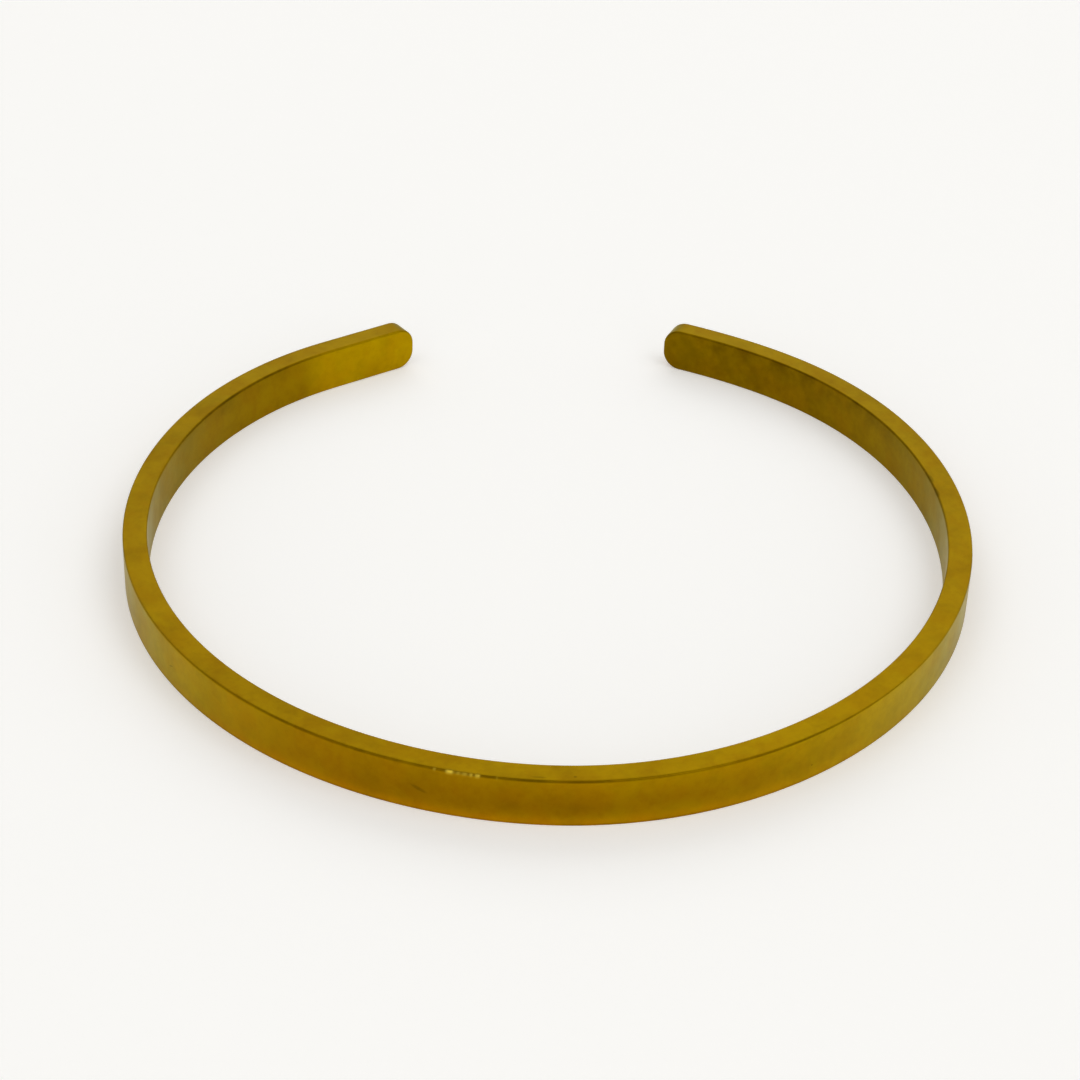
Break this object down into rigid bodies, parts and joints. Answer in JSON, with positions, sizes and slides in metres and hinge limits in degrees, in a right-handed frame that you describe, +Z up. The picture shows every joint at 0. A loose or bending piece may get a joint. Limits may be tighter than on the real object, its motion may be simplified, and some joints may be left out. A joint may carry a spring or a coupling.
{
  "type": "cuff bracelet",
  "caption": "Slim open cuff bracelet: a flat brass bar with rounded ends, bent to a loop with a gap, lying on its side.",
  "frame": {"origin": "centre of the cuff's box, at the surface that it lies on", "axes": "+Z up, through the loop as the wrist goes in; +Y towards the gap between the ends; +X to the right when the gap is at the back"},
  "size_m": [0.0562, 0.0568, 0.0032],
  "materials": {
    "brass": "satin polished, lightly worn, with a few small nicks"
  },
  "bodies": {
    "root": {"band": "brass"}
  },
  "joints": []
}
